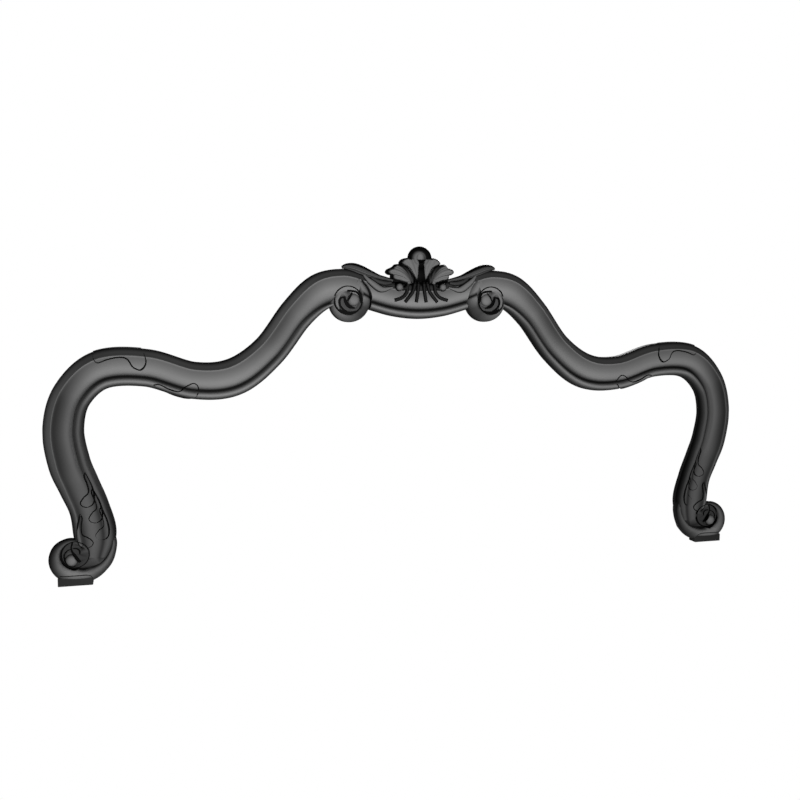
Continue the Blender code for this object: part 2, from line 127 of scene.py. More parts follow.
# The foot's ground lies deeper than the round seat of its eye
FOOT_GROUND, FOOT_SEAT, FOOT_RING = 0.0152, (-0.7440, -0.5280), 0.0290
FOOT_EYE, CREST_EYE = (-0.7512, -0.5389, 0.0135), (-0.1530, 0.0010, 0.0140)
# Round slots that set in the foot's seat and the crest's ring: middle, radius and half widths
# to the right, the top, the left and the bottom
FOOT_CIRCLE = FOOT_SEAT, 0.0280, (0.0010, 0.0011, 0.0022, 0.0020)
CREST_CIRCLE = (-0.1649, 0.0003), 0.0306, (0.0019, 0.0012, 0.0019, 0.0015)
# Slots cut straight in with a chisel, as x, z and half width, and how far their bottom lies
# below the ground: beside the eye and over the top of it, and the crescents round it
FOOT_SLOTS = [
    [(-0.7480, -0.4990, 0.0015), (-0.7500, -0.5060, 0.0018), (-0.7515, -0.5130, 0.0015),
     (-0.7495, -0.5210, 0.0020), (-0.7430, -0.5310, 0.0028), (-0.7345, -0.5440, 0.0028)],
    [(-0.7480, -0.5140, 0.0011), (-0.7400, -0.5150, 0.0015), (-0.7350, -0.5200, 0.0018),
     (-0.7350, -0.5270, 0.0014)],
    [(-0.7520, -0.5150, 0.0009), (-0.7600, -0.5190, 0.0013), (-0.7655, -0.5270, 0.0017),
     (-0.7640, -0.5400, 0.0018), (-0.7560, -0.5500, 0.0015), (-0.7440, -0.5520, 0.0011)],
]
CREST_SLOTS = [
    [(-0.1670, 0.0209, 0.0022), (-0.1554, 0.0202, 0.0023), (-0.1459, 0.0179, 0.0023),
     (-0.1400, 0.0112, 0.0023), (-0.1383, 0.0019, 0.0020), (-0.1370, -0.0050, 0.0014)],
    [(-0.1555, 0.0170, 0.0018), (-0.1608, 0.0091, 0.0020), (-0.1666, -0.0013, 0.0018)],
    [(-0.1729, 0.0085, 0.0022), (-0.1719, 0.0008, 0.0035), (-0.1677, -0.0085, 0.0038),
     (-0.1608, -0.0142, 0.0036), (-0.1500, -0.0169, 0.0014)],
    [(-0.1729, 0.0072, 0.0015), (-0.1814, 0.0049, 0.0023), (-0.1843, -0.0023, 0.0026),
     (-0.1828, -0.0116, 0.0024), (-0.1767, -0.0188, 0.0022), (-0.1680, -0.0240, 0.0016)],
    [(-0.1847, -0.0190, 0.0014), (-0.1768, -0.0245, 0.0030), (-0.1662, -0.0274, 0.0038),
     (-0.1556, -0.0270, 0.0034), (-0.1449, -0.0225, 0.0014)],
]
SLOT_DROP, ROUND_HALVES, ROUND_STEPS = 0.0040, ((-4, 184), (176, 364)), 12
# A line of painted shade that stands for a groove leaving the crest roll towards the centre rail, and
# half its width
CREST_GROOVE = [(-0.1345, 0.0150), (-0.1304, 0.0133), (-0.1171, 0.0080), (-0.1060, 0.0020)]
GROOVE_HALF = 0.0048
# How far the discs stay inside their rolls, and how far the pillow sinks where it leaves the rail
ROLL_MARGIN, PILLOW_MARGIN, PILLOW_SINK = 0.0022, 0.0006, 0.0022
ROLL_STEPS, DISC_STEPS, SEAT_STEPS = 150, 200, 90
# Section of the roll: share of its width from the outside, and rise above the floor in
# widths. It falls away slowly to the outside and steeply to the inside.
ROLL_SECTION = [
    (0.00, -0.80), (0.00, -0.30), (0.02, -0.16), (0.06, -0.02), (0.12, 0.11), (0.20, 0.23),
    (0.30, 0.34), (0.42, 0.43), (0.55, 0.485), (0.66, 0.50), (0.76, 0.48), (0.84, 0.43),
    (0.90, 0.35), (0.95, 0.24), (0.98, 0.12), (1.00, -0.04), (1.00, -0.40), (0.90, -0.80),
]
# How far the roll is let into the floor, its least depth, and how far the eyes stand out
ROLL_SINK, ROLL_LEAST, EYE_RISE, CREST_EYE_SHARE = 0.001, 0.002, 0.009, 0.6
# The crest disc sinks into the rail between these turns on its right and on its left
SINK_RIGHT, SINK_LEFT = (30, 62), (230, 290)
# Round edge of the crest volute: share of the band's width, and of the full depth
PILLOW_EDGE = [
    (0.00, 0.00), (0.00, 0.20), (0.01, 0.36), (0.04, 0.50), (0.09, 0.61), (0.16, 0.71),
    (0.25, 0.79), (0.36, 0.86), (0.50, 0.92), (0.65, 0.96), (0.82, 0.985), (1.00, 1.00),
]

# Low leaves: commas whose edges are shares of the length, left and right of the tip's line
COMMA_EDGES = [
    (0.00, 0.000, 0.000), (0.12, -0.030, 0.060), (0.35, 0.050, 0.160), (0.57, 0.075, 0.220),
    (0.70, -0.050, 0.235), (0.85, -0.147, 0.220), (0.95, -0.110, 0.150), (1.00, 0.000, 0.040),
]
# Tip x, z, length, turn in degrees from straight down, side of the lobe, rise above the rail
COMMA_LEAVES = [
    (-0.7194, -0.3558, 0.073, 0, 1, 0.0012), (-0.7059, -0.3899, 0.073, 2, 1, 0.0017),
    (-0.6897, -0.4286, 0.071, -2, 1, 0.0023), (-0.7319, -0.4430, 0.074, 12, -1, 0.0015),
    (-0.5780, -0.1770, 0.093, 82, -1, 0.0016),
]
SHOULDER_LEAF = [
    (-0.6975, -0.0900), (-0.6968, -0.1181), (-0.6918, -0.1272), (-0.6852, -0.1281),
    (-0.6702, -0.1223), (-0.6487, -0.1178), (-0.6354, -0.1189), (-0.6271, -0.1247),
    (-0.6205, -0.1364), (-0.6130, -0.1420), (-0.6050, -0.1445), (-0.5980, -0.1405),
    (-0.5931, -0.1314), (-0.5931, -0.1214), (-0.5973, -0.1100), (-0.6050, -0.0900),
]
SHOULDER_RISE, SHOULDER_STEPS, LEAF_BACK = 0.0016, 60, 0.008
# Half width of the gouge along a leaf's outline, from its foot round the tip and back
LEAF_LINE = (0.0013, 0.0013, 0.0015, 0.0017, 0.0017, 0.0019, 0.0022, 0.0017, 0.0013)

# Foot block seat, cut into the underside of the foot volute
BLOCK_X, BLOCK_WIDTH, BLOCK_DEPTH = -0.7447, 0.070, 0.028
BLOCK_TOP, BLOCK_BOTTOM = -0.5745, -0.5925
# Painted light and shade on the volutes: round the foot's volute, on its seat and eye, the painted
# shade on its ground at the roll and how far that fades, then by the turn in degrees and the share
# across each roll
FOOT_TOP, FOOT_TONE, SEAT_TONE, EYE_TONE = -0.47, 0.60, 0.58, 0.95
GROUND_LOW, GROUND_FADE = 0.15, 0.020
FOOT_LIT = (
    (-330, -270, -225, -180, -140, -100, -60, -26, 0, 32),
    (0.30, 0.36, 0.42, 0.50, 0.70, 1.0, 0.95, 0.70, 0.60, 0.50),
)
FOOT_ACROSS = (0.0, 0.12, 0.40, 0.70, 0.90, 1.0), (0.0, 0.14, 0.42, 0.85, 1.10, 0.40)
CREST_LIT = (
    (-294, -200, -150, -110, -80, -50, -20, 5, 20, 66),
    (0.9, 0.9, 0.85, 0.62, 0.42, 0.22, 0.25, 0.70, 0.95, 1.0),
)
CREST_ACROSS = (0.0, 0.05, 0.14, 0.50, 0.85, 1.0), (0.0, 0.20, 0.75, 0.95, 1.05, 0.50)
# Painted light across the crest's roll, and the painted light inside its ring
CREST_TONE, RING_TONE = 0.80, 0.9
# Shares across a roll beyond which a point lies inside it, outside it, or off the volute
INSIDE_ROLL, OUTSIDE_ROLL, OFF_VOLUTE = 1.02, -0.1, 8
# A cut over the block, as x and z from its middle and its top
SADDLE = [
    (-0.0300, 0.0060), (-0.0150, 0.0064), (0.0050, 0.0072), (0.0200, 0.0070), (0.0280, 0.0058),
    (0.0325, 0.0030), (0.0340, 0.0002),
]
SADDLE_HALF, SADDLE_BACK = 0.0009, 0.020
# Seams between the pieces, and how far cutters stand in front of the wood
GAP, CUT_REACH = 0.0003, 0.060
# How light the scroll rails are painted off their moulding where they face the front, and the angle
# beyond which edges stay sharp
RAIL_TONE, SHARP_ANGLE = 0.85, 28


def blend_rows(rows, share):
    place = share * (len(rows) - 1)
    i = min(int(place), len(rows) - 2)
    t = place - i
    before, after = rows[max(i - 1, 0)], rows[min(i + 2, len(rows) - 1)]
    values = []
    for p0, p1, p2, p3 in zip(before, rows[i], rows[i + 1], after):
        bend = 2 * p0 - 5 * p1 + 4 * p2 - p3
        twist = 3 * p1 - 3 * p2 + p3 - p0
        values.append(0.5 * (2 * p1 + (p2 - p0) * t + bend * t * t + twist * t ** 3))
    return values


def smooth_rows(rows, count):
    return [blend_rows(rows, k / (count - 1)) for k in range(count)]


def smoothstep(low, high, value):
    t = min(max((value - low) / (high - low), 0.0), 1.0)
    return t * t * (3 - 2 * t)


# While a piece is carved, its second slot marks the faces that a gouge has left, which are then painted
# black as the shade in the cuts
marks = [bpy.data.materials.new(name) for name in ("plain", "gouged")]


def to_object(bm, name, mark=0):
    bmesh.ops.remove_doubles(bm, verts=bm.verts, dist=0.00001)
    bmesh.ops.recalc_face_normals(bm, faces=bm.faces)
    for face in bm.faces:
        face.material_index = mark
    mesh = bpy.data.meshes.new(name)
    bm.to_mesh(mesh)
    bm.free()
    for material in marks:
        mesh.materials.append(material)
    piece = bpy.data.objects.new(name, mesh)
    bpy.context.scene.collection.objects.link(piece)
    return piece


def ring_corners(edges):
    """The corners of a ring of edges, in order, from the one its first edge starts at."""
    corners = []
    for edge, following in zip(edges, edges[1:] + edges[:1]):
        shared = [v for v in edge.verts if v in following.verts][0]
        corners.append(edge.other_vert(shared))
    return corners


def swept(name, rings, mark=0):
    """Draw a closed ring along by extruding its edges to each following ring."""
    bm = bmesh.new()
    loop = [bm.verts.new(point) for point in rings[0]]
    edges = [bm.edges.new((a, b)) for a, b in zip(loop, loop[1:] + loop[:1])]
    bmesh.ops.contextual_create(bm, geom=edges)
    for ring in rings[1:]:
        pulled = bmesh.ops.extrude_edge_only(bm, edges=edges)["geom"]
        edges = [g for g in pulled if isinstance(g, bmesh.types.BMEdge)]
        # The new edges come in the order of the old ones, so their first corners do too
        corners = ring_corners(edges)
        for vert, point in zip(corners, ring):
            vert.co = point
    bmesh.ops.contextual_create(bm, geom=edges)
    return to_object(bm, name, mark)


def combine(base, tool, operation):
    step = base.modifiers.new(operation.title(), 'BOOLEAN')
    step.operation = operation
    step.solver = 'MANIFOLD'
    step.object = tool
    bpy.context.view_layer.update()
    depsgraph = bpy.context.evaluated_depsgraph_get()
    mesh = bpy.data.meshes.new_from_object(base.evaluated_get(depsgraph))
    base.modifiers.clear()
    base.data = mesh
    bpy.data.objects.remove(tool)
    return base


def union(base, tools):
    for tool in tools:
        combine(base, tool, 'UNION')
    return base


def rail_rings(route, stations, shape_at, grow=0.0):
    rows = smooth_rows(route, stations)
    rings = []
    for k, (x, z, width) in enumerate(rows):
        ahead, behind = rows[min(k + 1, stations - 1)], rows[max(k - 1, 0)]
        direction = Vector((ahead[0] - behind[0], ahead[1] - behind[1])).normalized()
        outward = Vector((-direction[1], direction[0]))
        ring = []
        for share, depth, *tones in shape_at(k / (stations - 1)):
            across = (0.5 - share) * (width + 2 * grow)
            forward = depth + grow if depth > 0.00001 else -grow
            beside = min(max(x + outward.x * across, -RAIL_REACH), RAIL_REACH)
            ring.append((beside, -forward, z + outward.y * across))
        rings.append(ring)
    return rings


# Both sections leave out the points where the moulding's stands still
all_moulding = smooth_rows(MOULDING, PROFILE_POINTS)
all_spoon = smooth_rows(SPOON, PROFILE_POINTS)
moulding_rows, spoon_rows = all_moulding[:1], all_spoon[:1]
for before, moulding, spoon in zip(all_moulding, all_moulding[1:], all_spoon[1:]):
    if max(abs(a - b) for a, b in zip(moulding[:2], before[:2])) > LEAST_STEP:
        moulding_rows.append(moulding)
        spoon_rows.append(spoon)


def scroll_shape(share):
    t = smoothstep(SPOON_END, MOULDING_START, share)
    shift = GROOVE_SHIFT * smoothstep(*SHIFT_PLACE, share)
    dive = smoothstep(0.0, DIVE_END, share)
    rows = []
    for spoon, moulding in zip(spoon_rows, moulding_rows):
        row = [a + (b - a) * t for a, b in zip(spoon, moulding)]
        moved = (0, FIELD_SHARE, GROOVE_SHARE + shift, 1)
        place = np.interp(row[0], (0, FIELD_SHARE, GROOVE_SHARE, 1), moved)
        depth = min(row[1], FOOT_GROUND) + max(row[1] - FOOT_GROUND, 0) * dive
        rows.append((float(place), depth, *row[2:]))
    return rows


def on_circle(centre, radius, angle):
    turn = math.radians(angle)
    return centre[0] + radius * math.cos(turn), centre[1] + radius * math.sin(turn)


def prism(name, outline, back, front, mark=0):
    bm = bmesh.new()
    loop = [bm.verts.new((x, -back, z)) for x, z in outline]
    edges = [bm.edges.new((a, b)) for a, b in zip(loop, loop[1:] + loop[:1])]
    face = bmesh.ops.contextual_create(bm, geom=edges)["faces"]
    pulled = bmesh.ops.extrude_face_region(bm, geom=face)["geom"]
    moved = [g for g in pulled if isinstance(g, bmesh.types.BMVert)]
    bmesh.ops.translate(bm, vec=(0, back - front, 0), verts=moved)
    return to_object(bm, name, mark)


def tube(name, rows, sides=24, ribs=0, bite=0.0, flat=1.0, mark=0):
    """A round bar along rows of x, z, radius and depth, with ribs along its front."""
    rings = []
    for k, (x, z, radius, depth) in enumerate(rows):
        ahead, behind = rows[min(k + 1, len(rows) - 1)], rows[max(k - 1, 0)]
        run = Vector((ahead[0] - behind[0], behind[3] - ahead[3], ahead[1] - behind[1]))
        run.normalize()
        side = run.cross(Vector((0, -1, 0))).normalized()
        front = side.cross(run).normalized()
        ring = []
        for s in range(sides):
            angle = 2 * math.pi * s / sides
            reach = 1 - bite * (0.5 - 0.5 * math.cos(ribs * math.pi * (math.sin(angle) + 1)))
            rise = math.cos(angle) * (flat * reach if math.cos(angle) > 0 else 1)
            ring.append(Vector((x, -depth, z)) + (side * math.sin(angle) + front * rise) * radius)
        rings.append(ring)
    return swept(name, rings, mark)


def volute(name, centre, roll, end_angle, floor, eye_place, ground):
    """Disc with a dished floor, the roll that winds over it and the eye in its middle."""
    rows = [row for row in smooth_rows(roll, DISC_STEPS) if row[0] >= end_angle]
    outline = [on_circle(centre, radius - ROLL_MARGIN, angle) for angle, radius, width in rows]
    disc = prism(name, outline, 0.0, ground)
    seat = [on_circle(FOOT_SEAT, FOOT_RING, 360 * k / SEAT_STEPS) for k in range(SEAT_STEPS)]
    rings = []
    for angle, radius, width in smooth_rows(roll, ROLL_STEPS):
        ring = []
        for share, rise in ROLL_SECTION:
            x, z = on_circle(centre, radius - width * share, angle)
            ring.append((x, -max(floor - ROLL_SINK + width * rise, ROLL_LEAST), z))
        rings.append(ring)
    x, z, radius = eye_place
    eye = dome(name + "_eye", x, z, radius, radius, floor - EYE_RISE, floor + EYE_RISE)
    union(disc, [prism("seat", seat, 0.0, floor), swept(name + "_roll", rings), eye])
    return disc


def cut_slots(disc, circle, slots, bottom):
    """Cut a round slot, as two halves that overlap at their ends, and the straight ones."""
    middle, radius, halves = circle
    for start, end in ROUND_HALVES:
        rows = []
        for k in range(ROUND_STEPS + 1):
            turn = start + (end - start) * k / ROUND_STEPS
            half = np.interp(turn % 360, (0, 90, 180, 270, 360), halves + halves[:1])
            rows.append((*on_circle(middle, radius, turn), half))
        combine(disc, stroke(rows, bottom), 'DIFFERENCE')
    for slot in slots:
        combine(disc, stroke(slot, bottom), 'DIFFERENCE')
    return disc


def pillow(name, centre, roll, end_angle, floor, eye_place):
    """Disc with a broad round edge, a face that lies flush with the rail, and its eye."""
    rows = [row for row in smooth_rows(roll, DISC_STEPS) if row[0] >= end_angle]
    rings = []
    for share, height in PILLOW_EDGE:
        ring = []
        for angle, radius, width in rows:
            x, z = on_circle(centre, radius - PILLOW_MARGIN - width * share, angle)
            sink = smoothstep(*SINK_RIGHT, angle) + smoothstep(*SINK_LEFT, -angle)
            ring.append((x, -max(floor * height - PILLOW_SINK * sink, 0), z))
        rings.append(ring)
    x, z, radius = eye_place
    front = floor + EYE_RISE * CREST_EYE_SHARE
    eye = dome(name + "_eye", x, z, radius, radius, floor - EYE_RISE, front)
    return union(swept(name, rings), [eye])


def stroke(rows, bottom):
    """A cutter that stands on a line of x, z and half width and reaches out of the front."""
    line = smooth_rows(rows, 8 * len(rows))
    sides = ([], [])
    for k, (x, z, half) in enumerate(line):
        ahead, behind = line[min(k + 1, len(line) - 1)], line[max(k - 1, 0)]
        run = Vector((ahead[0] - behind[0], ahead[1] - behind[1])).normalized()
        for side, sign in zip(sides, (1, -1)):
            side.append((x - run.y * half * sign, z + run.x * half * sign))
    return prism("stroke", sides[0] + sides[1][::-1], bottom, CUT_REACH, 1)


def dome(name, x, z, half_width, half_height, back, front):
    """Egg-shaped boss between two depths."""
    bm = bmesh.new()
    bmesh.ops.create_uvsphere(bm, u_segments=56, v_segments=36, radius=1.0)
    bmesh.ops.rotate(bm, cent=(0, 0, 0), matrix=Matrix.Rotation(math.pi / 2, 3, 'X'), verts=bm.verts)
    shape = Matrix.Diagonal((half_width, (front - back) / 2, half_height, 1))
    place = Matrix.Translation((x, -(front + back) / 2, z))
    bmesh.ops.transform(bm, matrix=place @ shape, verts=bm.verts)
    return to_object(bm, name)


def comma_outline(tip_x, tip_z, length, turn, side):
    """Outline of a low leaf, from its tip down one edge to its foot and back up the other."""
    spin = math.radians(turn)
    down = Vector((math.sin(spin), -math.cos(spin))) * length
    across = Vector((-down.y, down.x)) * side
    rows = smooth_rows(COMMA_EDGES, 36)
    tip = Vector((tip_x, tip_z))
    right = [tip + down * t + across * edge for t, other, edge in rows]
    left = [tip + down * t + across * edge for t, edge, other in rows[1:-1]]
    return [(p.x, p.y) for p in right + left[::-1]]


def box(name, low, high):
    bm = bmesh.new()
    bmesh.ops.create_cube(bm, size=1.0)
    size = Vector(high) - Vector(low)
    middle = (Vector(high) + Vector(low)) / 2
    place = Matrix.Translation(middle) @ Matrix.Diagonal((*size, 1))
    bmesh.ops.transform(bm, matrix=place, verts=bm.verts)
    return to_object(bm, name)


def rail_lookup(route, stations, shape_at):
    """Read a rail's surface under a point: share across, depth, tone and share along."""
    rows = smooth_rows(route, stations)
    tree = KDTree(stations)
    for k, (x, z, width) in enumerate(rows):
        tree.insert((x, 0, z), k)
    tree.balance()
    shapes = [np.array(shape_at(k / (stations - 1))) for k in range(stations)]

    def read(x, z):
        k = tree.find((x, 0, z))[1]
        row, ahead, behind = rows[k], rows[min(k + 1, stations - 1)], rows[max(k - 1, 0)]
        run = Vector((ahead[0] - behind[0], ahead[1] - behind[1])).normalized()
        across = (x - row[0]) * -run.y + (z - row[1]) * run.x
        share = 0.5 - across / row[2]
        depth, lying, standing = (np.interp(share, shapes[k][:, 0], shapes[k][:, c]) for c in (1, 2, 3))
        # Painted light and shade: the moulding is painted lighter where the rail runs level than where
        # it stands upright
        level = LEVEL_MOST * smoothstep(UPRIGHT, LEVEL, abs(run.x)) ** LEVEL_BEND
        return share, depth, max(standing + (lying - standing) * level, 0), k / (stations - 1)

    return read


def paint_tone(piece, base, read=None, painted_light_rule=None):
    """Store painted light and shade at each face corner: lighter where it faces the front and
    darker as it turns away, dark on the walls and black in the cuts, along a rail after its moulding,
    and elsewhere by its own rule."""
    mesh = piece.data
    layer = mesh.attributes.get("tone") or mesh.attributes.new("tone", 'FLOAT', 'CORNER')
    values = np.zeros(len(mesh.loops), np.float32)
    smooth = [vert.normal.copy() for vert in mesh.vertices]
    cache = {}
    for polygon in mesh.polygons:
        centre = polygon.center
        under = None
        if read:
            under = read(-abs(centre.x) if read is scroll_read else centre.x, centre.z)
        on_rail = under and -PAST_EDGE < under[0] < 1 + PAST_EDGE
        on_rail = on_rail and abs(-centre.y - under[1]) < ON_RAIL and 0 < under[3] < 1
        in_cut = polygon.material_index == 1
        at_back = polygon.normal.y > 0.5
        on_wall = abs(polygon.normal.y) < 0.2 and not in_cut
        for corner in polygon.loop_indices:
            index = mesh.loops[corner].vertex_index
            spot = mesh.vertices[index].co
            # Painted shade: the tone falls as the surface turns away from the front
            facing = min(max((-smooth[index].y - TURN_LEAST) / TURN_SPAN, 0), 1)
            tone = base * facing ** TURN_POWER
            # Faces left by a gouge are painted black, as the shade in the cut
            if in_cut:
                tone = 0.0
            elif on_rail:
                if index not in cache:
                    beside = -abs(spot.x) if read is scroll_read else spot.x
                    cache[index] = read(beside, spot.z)[2]
                tone = cache[index]
            elif painted_light_rule and not at_back:
                tone = painted_light_rule(spot, tone)
            # The back keeps its thin stain; the walls keep their painted shade, no darker than the
            # least
            values[corner] = BACK_TONE if at_back else max(tone, WALL_TONE) if on_wall else tone
    layer.data.foreach_set("value", values)
    mesh.polygons.foreach_set("material_index", [0] * len(mesh.polygons))


def shade(piece):
    piece.data.shade_smooth()
    piece.data.set_sharp_from_angle(angle=math.radians(SHARP_ANGLE))


def mirrored(piece, name):
    bm = bmesh.new()
    bm.from_mesh(piece.data)
    bmesh.ops.transform(bm, matrix=Matrix.Scale(-1, 4, (1, 0, 0)), verts=bm.verts)
    bmesh.ops.reverse_faces(bm, faces=bm.faces)
    mesh = bpy.data.meshes.new(name)
    bm.to_mesh(mesh)
    bm.free()
    twin = bpy.data.objects.new(name, mesh)
    bpy.context.scene.collection.objects.link(twin)
    return twin


def grain_group():
    """Close-grained hardwood under stain: fine pores along the grain and broad cloudiness."""
    group = bpy.data.node_groups.new("wood_grain", 'ShaderNodeTree')
    group.interface.new_socket("Scale", in_out='INPUT', socket_type='NodeSocketFloat')
    group.interface.new_socket("Pores", in_out='OUTPUT', socket_type='NodeSocketFloat')
    group.interface.new_socket("Clouds", in_out='OUTPUT', socket_type='NodeSocketFloat')
    nodes, links = group.nodes, group.links
    entry, leave = nodes.new("NodeGroupInput"), nodes.new("NodeGroupOutput")
    place = nodes.new("ShaderNodeTexCoord")
    stretch = nodes.new("ShaderNodeMapping")
    stretch.inputs["Scale"].default_value = (1.0, 6.0, 6.0)
    links.new(place.outputs["Object"], stretch.inputs["Vector"])
    pores = nodes.new("ShaderNodeTexNoise")
    pores.inputs["Detail"].default_value = 4.0
    links.new(stretch.outputs["Vector"], pores.inputs["Vector"])
    links.new(entry.outputs["Scale"], pores.inputs["Scale"])
    clouds = nodes.new("ShaderNodeTexNoise")
    clouds.inputs["Scale"].default_value = 9.0
    clouds.inputs["Detail"].default_value = 2.0
    links.new(place.outputs["Object"], clouds.inputs["Vector"])
    links.new(pores.outputs["Fac"], leave.inputs["Pores"])
    links.new(clouds.outputs["Fac"], leave.inputs["Clouds"])
    return group


wood_grain = grain_group()
# Colours of the stain at full painted shade and at full painted light; the tone mixes them
PAINTED_SHADE_STAIN = (0.0015, 0.0015, 0.0015, 1.0)
PAINTED_LIGHT_STAIN = (0.360, 0.360, 0.360, 1.0)
# A thin wax film, so the deep cuts stay black
WAX_SHEEN = 0.08


def stained_wood(name, painted_lit_colour, roughness, grain_scale, bump):
    """Dark stained wood that carries painted light and shade from each piece's tone: black in the cuts
    and lighter where painted light falls.
    """
    material = bpy.data.materials.new(name)
    material.use_nodes = True
    nodes, links = material.node_tree.nodes, material.node_tree.links
    shader = nodes["Principled BSDF"]
    tone = nodes.new("ShaderNodeAttribute")
    tone.attribute_name = "tone"
    grain = nodes.new("ShaderNodeGroup")
    grain.node_tree = wood_grain
    grain.inputs["Scale"].default_value = grain_scale
    mottle = nodes.new("ShaderNodeMapRange")
    mottle.inputs["From Min"].default_value = 0.3
    mottle.inputs["From Max"].default_value = 0.7
    mottle.inputs["To Min"].default_value = 0.95
    mottle.inputs["To Max"].default_value = 1.04
    links.new(grain.outputs["Clouds"], mottle.inputs["Value"])
    lift = nodes.new("ShaderNodeMath")
    lift.operation = 'MULTIPLY'
    links.new(tone.outputs["Fac"], lift.inputs[0])
    links.new(mottle.outputs["Result"], lift.inputs[1])
    # The tone mixes the stain from painted shade to painted light
    stain_and_painted_light = nodes.new("ShaderNodeMix")
    stain_and_painted_light.data_type = 'RGBA'
    stain_and_painted_light.inputs["A"].default_value = PAINTED_SHADE_STAIN
    stain_and_painted_light.inputs["B"].default_value = painted_lit_colour
    links.new(lift.outputs["Value"], stain_and_painted_light.inputs["Factor"])
    links.new(stain_and_painted_light.outputs["Result"], shader.inputs["Base Color"])
    wax = nodes.new("ShaderNodeMapRange")
    wax.inputs["To Min"].default_value = roughness - 0.05
    wax.inputs["To Max"].default_value = roughness + 0.05
    links.new(grain.outputs["Pores"], wax.inputs["Value"])
    links.new(wax.outputs["Result"], shader.inputs["Roughness"])
    pits = nodes.new("ShaderNodeBump")
    pits.inputs["Strength"].default_value = bump
    pits.inputs["Distance"].default_value = 0.0004
    links.new(grain.outputs["Pores"], pits.inputs["Height"])
    links.new(pits.outputs["Normal"], shader.inputs["Normal"])
    shader.inputs["Specular IOR Level"].default_value = WAX_SHEEN
    return material


def dress(piece, material, slot_name, *nodes):
    piece.data.materials.clear()
    piece.data.materials.append(material)
    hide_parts(*nodes)
    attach(piece, "root")


rail_wood = stained_wood("satin_rail", PAINTED_LIGHT_STAIN, roughness=0.55, grain_scale=240.0, bump=0.15)
left_rail = swept("left_rail_carved", rail_rings(RAIL_ROUTE, RAIL_STATIONS, scroll_shape))
leaf_outlines = [(comma_outline(*leaf[:5]), leaf[5]) for leaf in COMMA_LEAVES]
for outline, rise in leaf_outlines + [(SHOULDER_LEAF, SHOULDER_RISE)]:
    fat = swept("low_leaf", rail_rings(RAIL_ROUTE, RAIL_STATIONS, scroll_shape, rise))
    leaf = combine(fat, prism("leaf_edge", outline, LEAF_BACK, CUT_REACH), 'INTERSECT')
    combine(left_rail, leaf, 'UNION')
union(left_rail, [
    volute("foot_volute", FOOT_CENTRE, FOOT_ROLL, FOOT_DISC_END, FOOT_FLOOR, FOOT_EYE, FOOT_GROUND),
    pillow("crest_volute", CREST_CENTRE, CREST_ROLL, CREST_DISC_END, CREST_FLOOR, CREST_EYE),
])
cut_slots(left_rail, FOOT_CIRCLE, FOOT_SLOTS, FOOT_FLOOR - SLOT_DROP)
cut_slots(left_rail, CREST_CIRCLE, CREST_SLOTS, CREST_FLOOR - SLOT_DROP)
scroll_read = rail_lookup(RAIL_ROUTE, RAIL_STATIONS, scroll_shape)


def cut_line(piece, points, widths, lift):
    """Run a round-nosed gouge along points of x and z over the rail."""
    rows = []
    for k, (x, z) in enumerate(points):
        width = blend_rows([(w,) for w in widths], k / (len(points) - 1))[0]
        rows.append((x, z, width, scroll_read(x, z)[1] + lift))
    combine(piece, tube("gouge", rows, sides=10, mark=1), 'DIFFERENCE')


for outline, rise in leaf_outlines:
    half = len(outline) // 2
    cut_line(left_rail, outline[half:] + outline[:half], LEAF_LINE, rise / 2)
shoulder_line = smooth_rows(SHOULDER_LEAF[1:-1], SHOULDER_STEPS)
cut_line(left_rail, shoulder_line, LEAF_LINE, SHOULDER_RISE / 2)
line = smooth_rows([(BLOCK_X + x, BLOCK_TOP + z) for x, z in SADDLE], 30)
saddle = [(x, z + SADDLE_HALF) for x, z in line] + [(x, z - SADDLE_HALF) for x, z in line[::-1]]
combine(left_rail, prism("saddle", saddle, SADDLE_BACK, CUT_REACH, 1), 'DIFFERENCE')
# The seat's cutter stands out in front of, behind and below the block
seat_low = (BLOCK_X - BLOCK_WIDTH / 2 - GAP, -BLOCK_DEPTH - 0.02, BLOCK_BOTTOM - 0.01)
seat_high = (BLOCK_X + BLOCK_WIDTH / 2 + GAP, 0.01, BLOCK_TOP + GAP)
combine(left_rail, box("block_seat", seat_low, seat_high), 'DIFFERENCE')
right_rail = mirrored(left_rail, "right_rail_carved")


def roll_place(centre, roll, x, z):
    """Where a point lies on a volute: the turn in degrees and the share across its roll."""
    turn = math.degrees(math.atan2(z - centre[1], x - centre[0]))
    turn = turn if turn < roll[0][0] else turn - 360
    rows = np.array(roll)[::-1]
    radius, width = (np.interp(turn, rows[:, 0], rows[:, c]) for c in (1, 2))
    return turn, (radius - math.hypot(x - centre[0], z - centre[1])) / width


